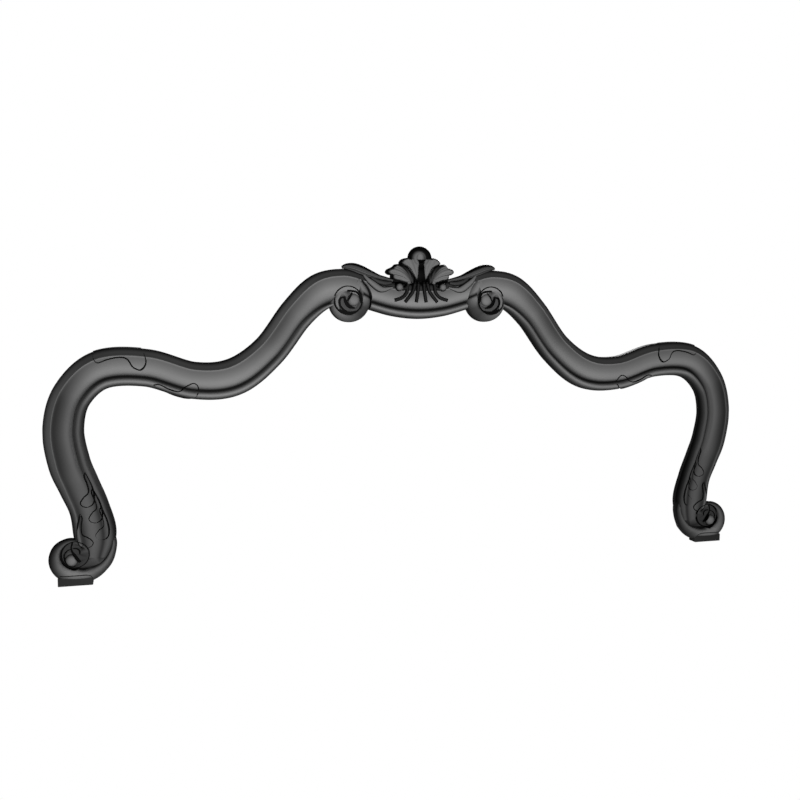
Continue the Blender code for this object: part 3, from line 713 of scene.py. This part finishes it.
def volute_painted_light(spot, tone):
    """Painted light along the inside of the foot's roll and on the low side of the crest's, with
    painted shade on the foot's ground by the roll and along the crest's groove.
    """
    x, z = -abs(spot.x), spot.z
    if z < FOOT_TOP:
        turn, share = roll_place(FOOT_CENTRE, FOOT_ROLL, x, z)
        if share > INSIDE_ROLL:
            seat = math.hypot(x - FOOT_SEAT[0], z - FOOT_SEAT[1]) < FOOT_RING
            eye = math.hypot(x - FOOT_EYE[0], z - FOOT_EYE[1]) < FOOT_EYE[2]
            width = np.interp(turn, *np.array(FOOT_ROLL)[::-1, ::2].T)
            clear = smoothstep(0, GROUND_FADE, (share - 1) * width)
            # Painted shade on the ground next to the roll, fading away from it
            ground = scroll_read(x, z)[2] * (GROUND_LOW + (1 - GROUND_LOW) * clear)
            return tone * EYE_TONE if eye else tone * SEAT_TONE if seat else ground
        if share < OUTSIDE_ROLL:
            return tone * FOOT_TONE
        lit = np.interp(turn, FOOT_LIT[0], FOOT_LIT[1])
        return lit * np.interp(share, FOOT_ACROSS[0], FOOT_ACROSS[1])
    turn, share = roll_place(CREST_CENTRE, CREST_ROLL, x, z)
    if abs(share) > OFF_VOLUTE:
        return tone
    gap = min((Vector((x, z)) - geometry.intersect_point_line((x, z), a, b)[0].xy).length
              for a, b in zip(CREST_GROOVE, CREST_GROOVE[1:]))
    if math.hypot(x - CREST_CIRCLE[0][0], z - CREST_CIRCLE[0][1]) < CREST_CIRCLE[1]:
        return tone * RING_TONE
    if 0 < share < 1:
        tone = max(tone, CREST_TONE * np.interp(share, CREST_ACROSS[0], CREST_ACROSS[1]))
    # Painted shade along the line of the crest's groove, which is not cut
    return tone * np.interp(turn, CREST_LIT[0], CREST_LIT[1]) * smoothstep(0, GROOVE_HALF, gap) ** 2


for rail, node in ((left_rail, "left_scroll_rail"), (right_rail, "right_scroll_rail")):
    shade(rail)
    paint_tone(rail, RAIL_TONE, scroll_read, volute_painted_light)
    dress(rail, rail_wood, "satin_rail", node)


# Centre rail
# A short sagging rail of the same section joins the two volutes. It is scribed to their round
# edges and dowelled to them, and carries the shell and the sprays.
CENTRE_ROUTE = [
    (-0.1392, 0.0221, 0.076), (-0.1120, 0.0160, 0.071), (-0.0550, 0.0020, 0.074),
    (0.0000, -0.0025, 0.077), (0.0550, 0.0020, 0.074), (0.1120, 0.0160, 0.071),
    (0.1392, 0.0221, 0.076),
]
CENTRE_STATIONS, CENTRE_TONE = 97, 0.82


def level_shape(share):
    return moulding_rows


def replaced_by_mirror(piece):
    twin = mirrored(piece, piece.name)
    bpy.data.objects.remove(piece)
    return twin


def volute_cutter(side):
    rows = [row for row in smooth_rows(CREST_ROLL, DISC_STEPS) if row[0] >= CREST_DISC_END]
    outline = [on_circle(CREST_CENTRE, radius + GAP, angle) for angle, radius, width in rows]
    cutter = prism("volute_cutter", outline, -0.01, 0.07)
    return cutter if side < 0 else replaced_by_mirror(cutter)


def rail_cutter(side, route, stations, shape_at):
    cutter = swept("rail_cutter", rail_rings(route, stations, shape_at, GAP))
    return cutter if side < 0 else replaced_by_mirror(cutter)


centre_rail = swept("centre_rail_carved", rail_rings(CENTRE_ROUTE, CENTRE_STATIONS, level_shape))
for side in (-1, 1):
    combine(centre_rail, rail_cutter(side, RAIL_ROUTE, RAIL_STATIONS, scroll_shape), 'DIFFERENCE')
    combine(centre_rail, volute_cutter(side), 'DIFFERENCE')
shade(centre_rail)
centre_read = rail_lookup(CENTRE_ROUTE, CENTRE_STATIONS, level_shape)
# Painted light and shade along the centre rail's moulding, and painted shade as it turns from the front
paint_tone(centre_rail, CENTRE_TONE, centre_read)
dress(centre_rail, rail_wood, "satin_rail", "centre_rail")


# Shell cartouche
# A carved boss over the middle of the centre rail: a knob like an egg, fluted side lobes, a
# stem painted black as shade and a sheaf of fluted bars tied in two eyes. One block of wood, glued in
# place.
# Knob, backing and web as x, z, half width, half height and depth of the front
KNOB = (0.0, 0.0930, 0.0275, 0.0265, 0.0400)
# The spoon that is hollowed out of the knob, a ball's middle as x, z and depth, and its radii
SPOON_BALL, SPOON_RADII = (-0.0035, 0.0930, 0.0440), (0.0120, 0.0090, 0.0150)
BACKING = (0.0, 0.0600, 0.0560, 0.0340, 0.0290)
# The web is low and closes the gap between the petals and the top of the rail
WEB = (0.0, 0.0430, 0.0840, 0.0108, 0.0260)
# Petals of the shell, right half: root, then the rim from the low side to the high side as
# x, z and the width of the rolled edge there, over which the rim is painted dark as shade
SIDE_PETAL = (0.0225, 0.0375), [
    (0.0330, 0.0372, 0.0030), (0.0480, 0.0425, 0.0035), (0.0610, 0.0450, 0.0035),
    (0.0662, 0.0500, 0.0035), (0.0662, 0.0552, 0.0030), (0.0725, 0.0570, 0.0030),
    (0.0775, 0.0622, 0.0045), (0.0738, 0.0685, 0.0050), (0.0655, 0.0722, 0.0040),
    (0.0610, 0.0750, 0.0030), (0.0560, 0.0795, 0.0040), (0.0465, 0.0795, 0.0060),
    (0.0375, 0.0775, 0.0090), (0.0280, 0.0715, 0.0110), (0.0195, 0.0636, 0.0110),
    (0.0145, 0.0530, 0.0090), (0.0130, 0.0420, 0.0070),
]
HIGH_PETAL = (0.0092, 0.0440), [
    (0.0120, 0.0470, 0.0010), (0.0200, 0.0640, 0.0010), (0.0300, 0.0730, 0.0020),
    (0.0400, 0.0775, 0.0030), (0.0462, 0.0815, 0.0040), (0.0445, 0.0868, 0.0042),
    (0.0388, 0.0915, 0.0040), (0.0300, 0.0938, 0.0030), (0.0205, 0.0935, 0.0010),
    (0.0115, 0.0910, 0.0010), (0.0070, 0.0850, 0.0010), (0.0062, 0.0600, 0.0010),
]
PETAL_STEPS, PETAL_RIM, PETAL_CURL = 72, 0.008, 1.4
# Depth of each petal, the number of its flutes, their bite and the bend to one side
HIGH_CARVE, SIDE_CARVE = (0.0360, 4, 0.0024, 0.05), (0.0385, 6, 0.0026, 0.14)
# Painted shade darkens the upper side of each side petal beyond these slopes, seen from its foot
SIDE_SHADE, SIDE_TURN = 0.70, (40, 70)
# Bars of the sheaf as x, z points down each bar, all of one radius
FLUTES = [
    [(0.0062, 0.0410), (0.0065, 0.0330), (0.0078, 0.0180), (0.0115, -0.0040)],
    [(0.0135, 0.0410), (0.0152, 0.0330), (0.0208, 0.0170), (0.0372, -0.0035)],
    [(0.0290, 0.0410), (0.0315, 0.0300), (0.0335, 0.0170), (0.0440, 0.0060), (0.0610, 0.0006)],
    [(0.0315, 0.0300), (0.0390, 0.0255), (0.0480, 0.0270)],
]
# Radius and depth of the bars, and how light the sheaf below the rail's top is painted: near black, as
# shade
FLUTE_RADIUS, FLUTE_DEPTH, FLUTE_TONE = 0.0039, 0.0350, 0.08
SHEAF_EYE, SHEAF_EYE_BACK, SHEAF_EYE_FRONT = (0.0500, 0.0294, 0.0095), 0.0260, 0.0410
# Top of the rail, below which the sheaf is painted dark; the reach of full painted shade in the throat;
# foot of the backing
RAIL_TOP, THROAT, BACKING_FOOT = 0.0363, 0.0120, 0.0350
# Half width, flare and top of the stem, which is painted black as shade on the backing
STEM_HALF, STEM_FLARE, STEM_TOP = 0.0060, 0.05, 0.0898
# Middle and half sizes of the painted light patch on the knob, how dark the painted shade round it
# turns, and over what reach
KNOB_LIGHT, KNOB_DARK, KNOB_FADE = (-0.0060, 0.0945, 0.0115, 0.0110), 0.97, (0.80, 1.45)
# The sheaf's eyes are painted light out to this share of their radius and painted dark as shade round
# that
EYE_LIGHT, EYE_SHARE, EYE_DARK = 0.9, 0.75, 0.2
# How light the shell is painted where it faces the front, and how the painted shade in the throat fades
# and leans
SHELL_TONE, THROAT_FADE, THROAT_LEAN = 0.72, 0.012, 0.6
# Shares of a petal's length at which its surface is set out
PETAL_SHARES = (0.06, 0.12, 0.2, 0.3, 0.4, 0.5, 0.6, 0.68, 0.76, 0.83, 0.88, 0.92, 0.95, 0.98, 1.0)
# Corners of what is sawn away behind the flat back, and of what is kept above the rail
BEHIND_LOW, BEHIND_HIGH = (-0.3, 0.0, -0.2), (0.3, 0.1, 0.3)
ABOVE_LOW, ABOVE_HIGH = (-0.2, -0.1, BACKING_FOOT), (0.2, 0.1, 0.3)

carving_wood = stained_wood(
    "satin_carving", PAINTED_LIGHT_STAIN, roughness=0.52, grain_scale=260.0, bump=0.15,
)


def petal(name, side, shape, depth, flutes, bite, bend):
    """Fan of flutes that spread from a root to a scalloped rim with a rolled, falling edge."""
    root, rim = shape
    rows = smooth_rows(rim, PETAL_STEPS)
    root = Vector(root)
    rings = []
    for k, (x, z, band) in enumerate(rows):
        across = k / (PETAL_STEPS - 1)
        reach = Vector((x, z)) - root
        aside = Vector((-reach.y, reach.x)) * bend * math.sin(math.pi * across)
        wave = 0.5 - 0.5 * math.cos(2 * math.pi * flutes * across)
        front, back = [], []
        for share in PETAL_SHARES:
            spot = root + reach * share + aside * 4 * share * (1 - share)
            near = min(math.hypot(spot.x - u, spot.y - v) / w for u, v, w in rows)
            fall = (1 - min(near, 1)) ** PETAL_CURL
            rise = depth - bite * (1 - wave) * share - PETAL_RIM * fall
            front.append((side * spot.x, -rise, spot.y))
            back.append((side * spot.x, -(rise * 0.4), spot.y))
        rings.append(front + back[::-1])
    return swept(name, rings)


shell = dome("shell_carved", *BACKING[:4], -BACKING[4], BACKING[4])
combine(shell, dome("web", *WEB[:4], -WEB[4], WEB[4]), 'UNION')
combine(shell, box("above_rail", ABOVE_LOW, ABOVE_HIGH), 'INTERSECT')
knob = dome("knob", *KNOB[:4], 0.0, KNOB[4])
x, z, depth = SPOON_BALL
across, through, high = SPOON_RADII
combine(knob, dome("spoon", x, z, across, high, depth - through, depth + through), 'DIFFERENCE')
tools = [knob]
for side in (-1, 1):
    tools.append(petal("high_petal", side, HIGH_PETAL, *HIGH_CARVE))
    tools.append(petal("side_petal", side, SIDE_PETAL, *SIDE_CARVE))
    for route in FLUTES:
        rows = [(side * x, z, FLUTE_RADIUS, FLUTE_DEPTH) for x, z in smooth_rows(route, 24)]
        tools.append(tube("flute", rows))
    x, z, radius = SHEAF_EYE
    tools.append(dome("sheaf_eye", side * x, z, radius, radius, SHEAF_EYE_BACK, SHEAF_EYE_FRONT))
union(shell, tools)
combine(shell, box("behind", BEHIND_LOW, BEHIND_HIGH), 'DIFFERENCE')
seat = swept("seat", rail_rings(CENTRE_ROUTE, CENTRE_STATIONS, level_shape, GAP))
combine(shell, seat, 'DIFFERENCE')
shade(shell)


def rim_dark(shape, x, z):
    """None outside a petal; inside it, the light left by painted shade, from 0 at the rim to 1 past its
    rolled edge.
    """
    rim = np.array(smooth_rows(shape[1], PETAL_STEPS))
    u, v = np.append(rim[:, 0], shape[0][0]), np.append(rim[:, 1], shape[0][1])
    ahead_u, ahead_v = np.roll(u, -1), np.roll(v, -1)
    spans = (v > z) != (ahead_v > z)
    with np.errstate(divide='ignore', invalid='ignore'):
        crossing = u + (z - v) * (ahead_u - u) / (ahead_v - v)
    if not np.count_nonzero(spans & (x < crossing)) % 2:
        return None
    return smoothstep(0.10, 1.15, np.min(np.hypot(rim[:, 0] - x, rim[:, 1] - z) / rim[:, 2]))


def shell_painted_light(spot, tone):
    """Painted shade on the stem, throat and sheaf; the knob has painted light only on its middle."""
    x, z = spot.x, spot.z
    eye = math.hypot(abs(x) - SHEAF_EYE[0], z - SHEAF_EYE[1])
    if eye < SHEAF_EYE[2]:
        return tone * (EYE_LIGHT if eye < SHEAF_EYE[2] * EYE_SHARE else EYE_DARK)
    if z < RAIL_TOP:
        return tone * FLUTE_TONE
    # The stem is painted black, as shade
    if abs(x) < STEM_HALF + STEM_FLARE * (STEM_TOP - z) and z < STEM_TOP:
        return 0.0
    if z > STEM_TOP and math.hypot(x - KNOB[0], z - KNOB[1]) < KNOB[2] * 1.05:
        away = math.hypot((x - KNOB_LIGHT[0]) / KNOB_LIGHT[2], (z - KNOB_LIGHT[1]) / KNOB_LIGHT[3])
        return tone * (1 - KNOB_DARK * smoothstep(*KNOB_FADE, away))
    for shape in (SIDE_PETAL, HIGH_PETAL):
        light = rim_dark(shape, abs(x), z)
        if light is not None:
            place = abs(x) + (z - RAIL_TOP) * THROAT_LEAN
            throat = smoothstep(THROAT, THROAT + THROAT_FADE, place)
            if shape is SIDE_PETAL:
                slope = math.degrees(math.atan2(z - shape[0][1], abs(x) - shape[0][0]))
                light *= 1 - SIDE_SHADE * smoothstep(*SIDE_TURN, slope)
            return tone * light * throat
    return 0.0


paint_tone(shell, SHELL_TONE, painted_light_rule=shell_painted_light)
dress(shell, carving_wood, "satin_carving", "shell_cartouche")


# Leaf sprays
# Scrolling leaves carved apart and glued on either side of the shell, where the rail meets
# the volute: a long one over the top edge and two short ones on the field.
# Each leaf as x, z, radius and depth of its middle, from its free tip to the shell
UPPER_LEAF = [
    (-0.1765, 0.0715, 0.0030, 0.022), (-0.1660, 0.0735, 0.0065, 0.023),
    (-0.1510, 0.0715, 0.0096, 0.024), (-0.1340, 0.0655, 0.0103, 0.025),
    (-0.1140, 0.0577, 0.0084, 0.026), (-0.0960, 0.0515, 0.0056, 0.027),
    (-0.0830, 0.0485, 0.0044, 0.028), (-0.0725, 0.0463, 0.0036, 0.028),
    (-0.0630, 0.0440, 0.0034, 0.028),
]
LOWER_LEAF = [
    (-0.1290, 0.0550, 0.0030, 0.030), (-0.1190, 0.0440, 0.0058, 0.033),
    (-0.1074, 0.0345, 0.0076, 0.034), (-0.0960, 0.0265, 0.0082, 0.034),
    (-0.0860, 0.0240, 0.0064, 0.034), (-0.0740, 0.0262, 0.0036, 0.034),
    (-0.0640, 0.0288, 0.0014, 0.034),
]
MIDDLE_LEAF = [
    (-0.1120, 0.0500, 0.0030, 0.028), (-0.0980, 0.0420, 0.0056, 0.030),
    (-0.0820, 0.0380, 0.0058, 0.031), (-0.0670, 0.0390, 0.0034, 0.031),
]
# How light each leaf is painted, as painted light and shade, from its lower edge to its upper edge, in
# radii from the middle
LEAF_LIGHT = {
    "upper": ((-1.0, -0.80, -0.50, 0.0, 0.35, 0.60, 1.0), (0.0, 0.80, 1.10, 0.75, 0.40, 0.02, 0.0)),
    "lower": ((-1.0, -0.85, -0.60, 0.0, 0.60, 0.85, 1.0), (0.0, 0.10, 1.20, 1.30, 1.10, 0.05, 0.0)),
    "middle": ((-1.0, -0.60, 0.0, 0.60, 1.0), (0.0, 0.30, 0.35, 0.25, 0.0)),
}
SPRAY_TONE, LINE_STEPS = 0.54, 60
leaf_rows = {"upper": UPPER_LEAF, "lower": LOWER_LEAF, "middle": MIDDLE_LEAF}
leaf_lines = {name: np.array(smooth_rows(rows, LINE_STEPS)) for name, rows in leaf_rows.items()}


def spray_painted_light(spot, tone):
    """Painted light along the body of each leaf and painted shade, black, along its set-in edges."""
    best = None
    for name, line in leaf_lines.items():
        gaps = np.hypot(line[:, 0] + abs(spot.x), line[:, 1] - spot.z)
        k = int(np.argmin(gaps))
        if best is None or gaps[k] / line[k, 2] < best[0]:
            ahead, behind = line[min(k + 1, LINE_STEPS - 1)], line[max(k - 1, 0)]
            run = Vector((ahead[0] - behind[0], ahead[1] - behind[1])).normalized()
            up = (-abs(spot.x) - line[k, 0]) * -run.y + (spot.z - line[k, 1]) * run.x
            best = gaps[k] / line[k, 2], up / line[k, 2], name
    places, lights = LEAF_LIGHT[best[2]]
    return tone * float(np.interp(best[1], places, lights))


upper_rows = smooth_rows(UPPER_LEAF, LINE_STEPS)
left_spray = tube("left_spray_carved", upper_rows, sides=48, ribs=3, bite=0.22)
union(left_spray, [
    tube("lower_leaf", smooth_rows(LOWER_LEAF, 50), sides=40, flat=0.55),
    tube("middle_leaf", smooth_rows(MIDDLE_LEAF, 40), sides=40, flat=0.7),
])
combine(left_spray, rail_cutter(-1, CENTRE_ROUTE, CENTRE_STATIONS, level_shape), 'DIFFERENCE')
combine(left_spray, rail_cutter(-1, RAIL_ROUTE, RAIL_STATIONS, scroll_shape), 'DIFFERENCE')
combine(left_spray, volute_cutter(-1), 'DIFFERENCE')
right_spray = mirrored(left_spray, "right_spray_carved")
for spray, node in ((left_spray, "left_leaf_spray"), (right_spray, "right_leaf_spray")):
    shade(spray)
    paint_tone(spray, SPRAY_TONE, painted_light_rule=spray_painted_light)
    dress(spray, carving_wood, "satin_carving", node)


# Foot blocks
# Plain blocks under the volutes, let into them from below: the tenons that drop into the
# sofa's arms. Sawn hardwood under the same stain, left duller and darker than the carving.
BLOCK_BEVEL, BLOCK_TONE = 0.0015, 0.9
BLOCK_STAIN = (0.26, 0.26, 0.26, 1.0)
block_wood = stained_wood("block_end", BLOCK_STAIN, roughness=0.6, grain_scale=180.0, bump=0.25)
for side, node in ((-1, "left_foot_block"), (1, "right_foot_block")):
    middle = side * abs(BLOCK_X)
    low = (middle - BLOCK_WIDTH / 2, -BLOCK_DEPTH, BLOCK_BOTTOM)
    high = (middle + BLOCK_WIDTH / 2, 0.0, BLOCK_TOP)
    block = box(node + "_sawn", low, high)
    bevel = block.modifiers.new("Bevel", 'BEVEL')
    bevel.width = BLOCK_BEVEL
    bevel.segments = 3
    # Painted shade darkens the block's faces as they turn from the front
    paint_tone(block, BLOCK_TONE)
    block.data.shade_smooth()
    dress(block, block_wood, "block_end", node)


# Floor, lights and camera
# A pale studio floor, which shows plain white in the picture, a soft lamp in front, another
# behind for the back, a dim sky all round, and the camera where the photograph was taken from.
FLOOR_DROP = 0.9
bm = bmesh.new()
bmesh.ops.create_grid(bm, x_segments=1, y_segments=1, size=12.0)
floor = to_object(bm, "studio_floor")
floor.data.transform(Matrix.Translation((0, 0, BLOCK_BOTTOM - FLOOR_DROP)))
paper = bpy.data.materials.new("studio_paper")
paper.use_nodes = True
paper_nodes, paper_links = paper.node_tree.nodes, paper.node_tree.links
paper_nodes["Principled BSDF"].inputs["Base Color"].default_value = (0.9, 0.9, 0.9, 1)
glow = paper_nodes.new("ShaderNodeEmission")
looked_at = paper_nodes.new("ShaderNodeLightPath")
either = paper_nodes.new("ShaderNodeMixShader")
paper_links.new(looked_at.outputs["Is Camera Ray"], either.inputs["Fac"])
paper_links.new(paper_nodes["Principled BSDF"].outputs["BSDF"], either.inputs[1])
paper_links.new(glow.outputs["Emission"], either.inputs[2])
paper_links.new(either.outputs["Shader"], paper_nodes["Material Output"].inputs["Surface"])
floor.data.materials.clear()
floor.data.materials.append(paper)

world = bpy.data.worlds.new("studio")
bpy.context.scene.world = world
world.use_nodes = True
air = world.node_tree
sky = air.nodes["Background"]
sky.inputs["Color"].default_value = (1, 1, 1, 1)
seen = air.nodes.new("ShaderNodeLightPath")
strength = air.nodes.new("ShaderNodeMapRange")
strength.inputs["To Min"].default_value = 0.05
strength.inputs["To Max"].default_value = 1.0
air.links.new(seen.outputs["Is Camera Ray"], strength.inputs["Value"])
air.links.new(strength.outputs["Result"], sky.inputs["Strength"])

CAMERA_SPOT = (-0.6086, -2.0950, -0.0132)
CAMERA_PITCH, CAMERA_YAW, CAMERA_ROLL, FOCAL_LENGTH = 84.4679, -15.2135, 0.0722, 43.425


def area_light(name, spot, aim, size, power):
    lamp = bpy.data.lights.new(name, 'AREA')
    lamp.shape = 'DISK'
    lamp.size = size
    lamp.energy = power
    holder = bpy.data.objects.new(name, lamp)
    holder.location = spot
    holder.rotation_euler = (Vector(aim) - Vector(spot)).to_track_quat('-Z', 'Y').to_euler()
    bpy.context.scene.collection.objects.link(holder)


area_light("key", spot=(-0.28, -1.75, -0.28), aim=(-0.05, 0.0, -0.20), size=0.30, power=18.6)
area_light("back", spot=(0.90, 1.70, 0.60), aim=(0.0, 0.0, -0.20), size=0.60, power=22)
camera_data = bpy.data.cameras.new("photo_view")
camera_data.lens = FOCAL_LENGTH
camera_data.sensor_width = 36.0
camera = bpy.data.objects.new("photo_view", camera_data)
camera.location = CAMERA_SPOT
turns = ((CAMERA_YAW, 'Z'), (CAMERA_PITCH, 'X'), (CAMERA_ROLL, 'Z'))
yaw, pitch, roll = (Matrix.Rotation(math.radians(angle), 3, axis) for angle, axis in turns)
camera.rotation_euler = (yaw @ pitch @ roll).to_euler()
bpy.context.scene.collection.objects.link(camera)
bpy.context.scene.camera = camera
bpy.context.scene.view_settings.view_transform = 'Standard'
